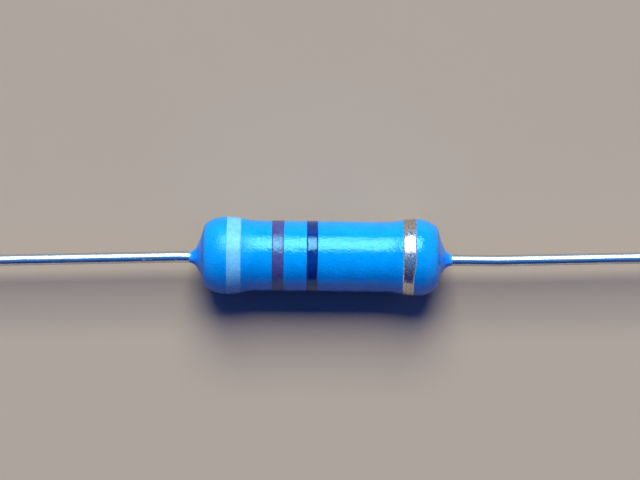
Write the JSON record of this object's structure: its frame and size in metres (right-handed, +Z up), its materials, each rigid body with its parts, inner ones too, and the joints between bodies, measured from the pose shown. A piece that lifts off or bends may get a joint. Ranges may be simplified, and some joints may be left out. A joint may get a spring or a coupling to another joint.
{
  "type": "axial resistor",
  "caption": "Axial film resistor: a blue lacquered body with swollen ends, painted colour bands and a slightly bent tinned wire lead at each end.",
  "frame": {"origin": "middle of the lacquered body, on the axis of its ceramic rod", "axes": "+X along the body towards the gold band and the right lead, +Y across it in the plane of the bent leads, +Z up from the surface it lies on"},
  "size_m": [0.0718, 0.0052, 0.0052],
  "materials": {
    "ceramic": "matte",
    "metal_film": "satin",
    "cap_steel": "satin",
    "tinned_wire": "polished",
    "blue_lacquer": "gloss",
    "white_paint": "gloss",
    "brown_paint": "satin",
    "black_paint": "gloss",
    "gold_paint": "satin"
  },
  "bodies": {
    "root": {"ceramic_core": "ceramic", "resistive_film": "metal_film", "end_cap_left": "cap_steel", "end_cap_right": "cap_steel", "lead_left": "tinned_wire", "lead_right": "tinned_wire", "coating": "blue_lacquer", "band_white": "white_paint", "band_brown": "brown_paint", "band_black": "black_paint", "band_gold": "gold_paint"}
  },
  "joints": []
}
